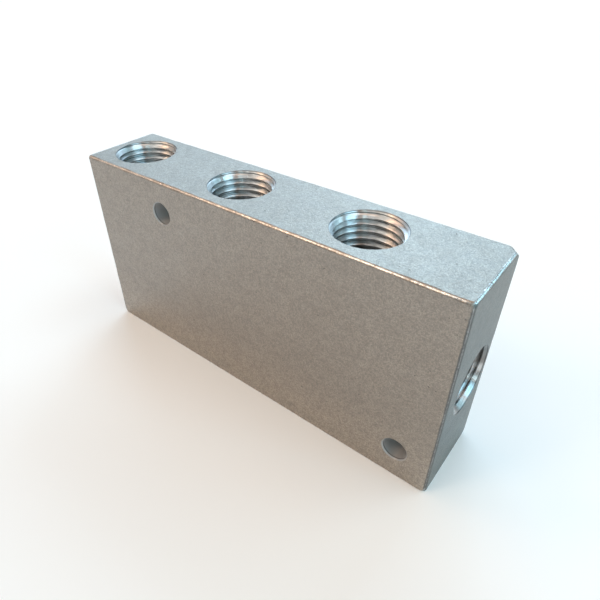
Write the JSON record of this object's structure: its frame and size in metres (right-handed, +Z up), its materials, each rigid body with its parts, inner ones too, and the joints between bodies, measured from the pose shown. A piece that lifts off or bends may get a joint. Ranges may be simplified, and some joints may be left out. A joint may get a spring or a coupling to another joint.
{
  "type": "air manifold block",
  "caption": "Rectangular aluminium air manifold block with a row of threaded outlets along its top face, a threaded inlet in one end and plain bolt holes through its front.",
  "frame": {"origin": "centre of the bottom face", "axes": "+X along the length towards the end with the inlet, +Y through the thickness from the front face to the rear face, +Z up towards the row of outlets"},
  "size_m": [0.092, 0.019, 0.046],
  "materials": {
    "satin_aluminium": "fine-grained satin, bright in the threads and along the broken edges"
  },
  "bodies": {
    "root": {"manifold_block": "satin_aluminium"}
  },
  "joints": []
}
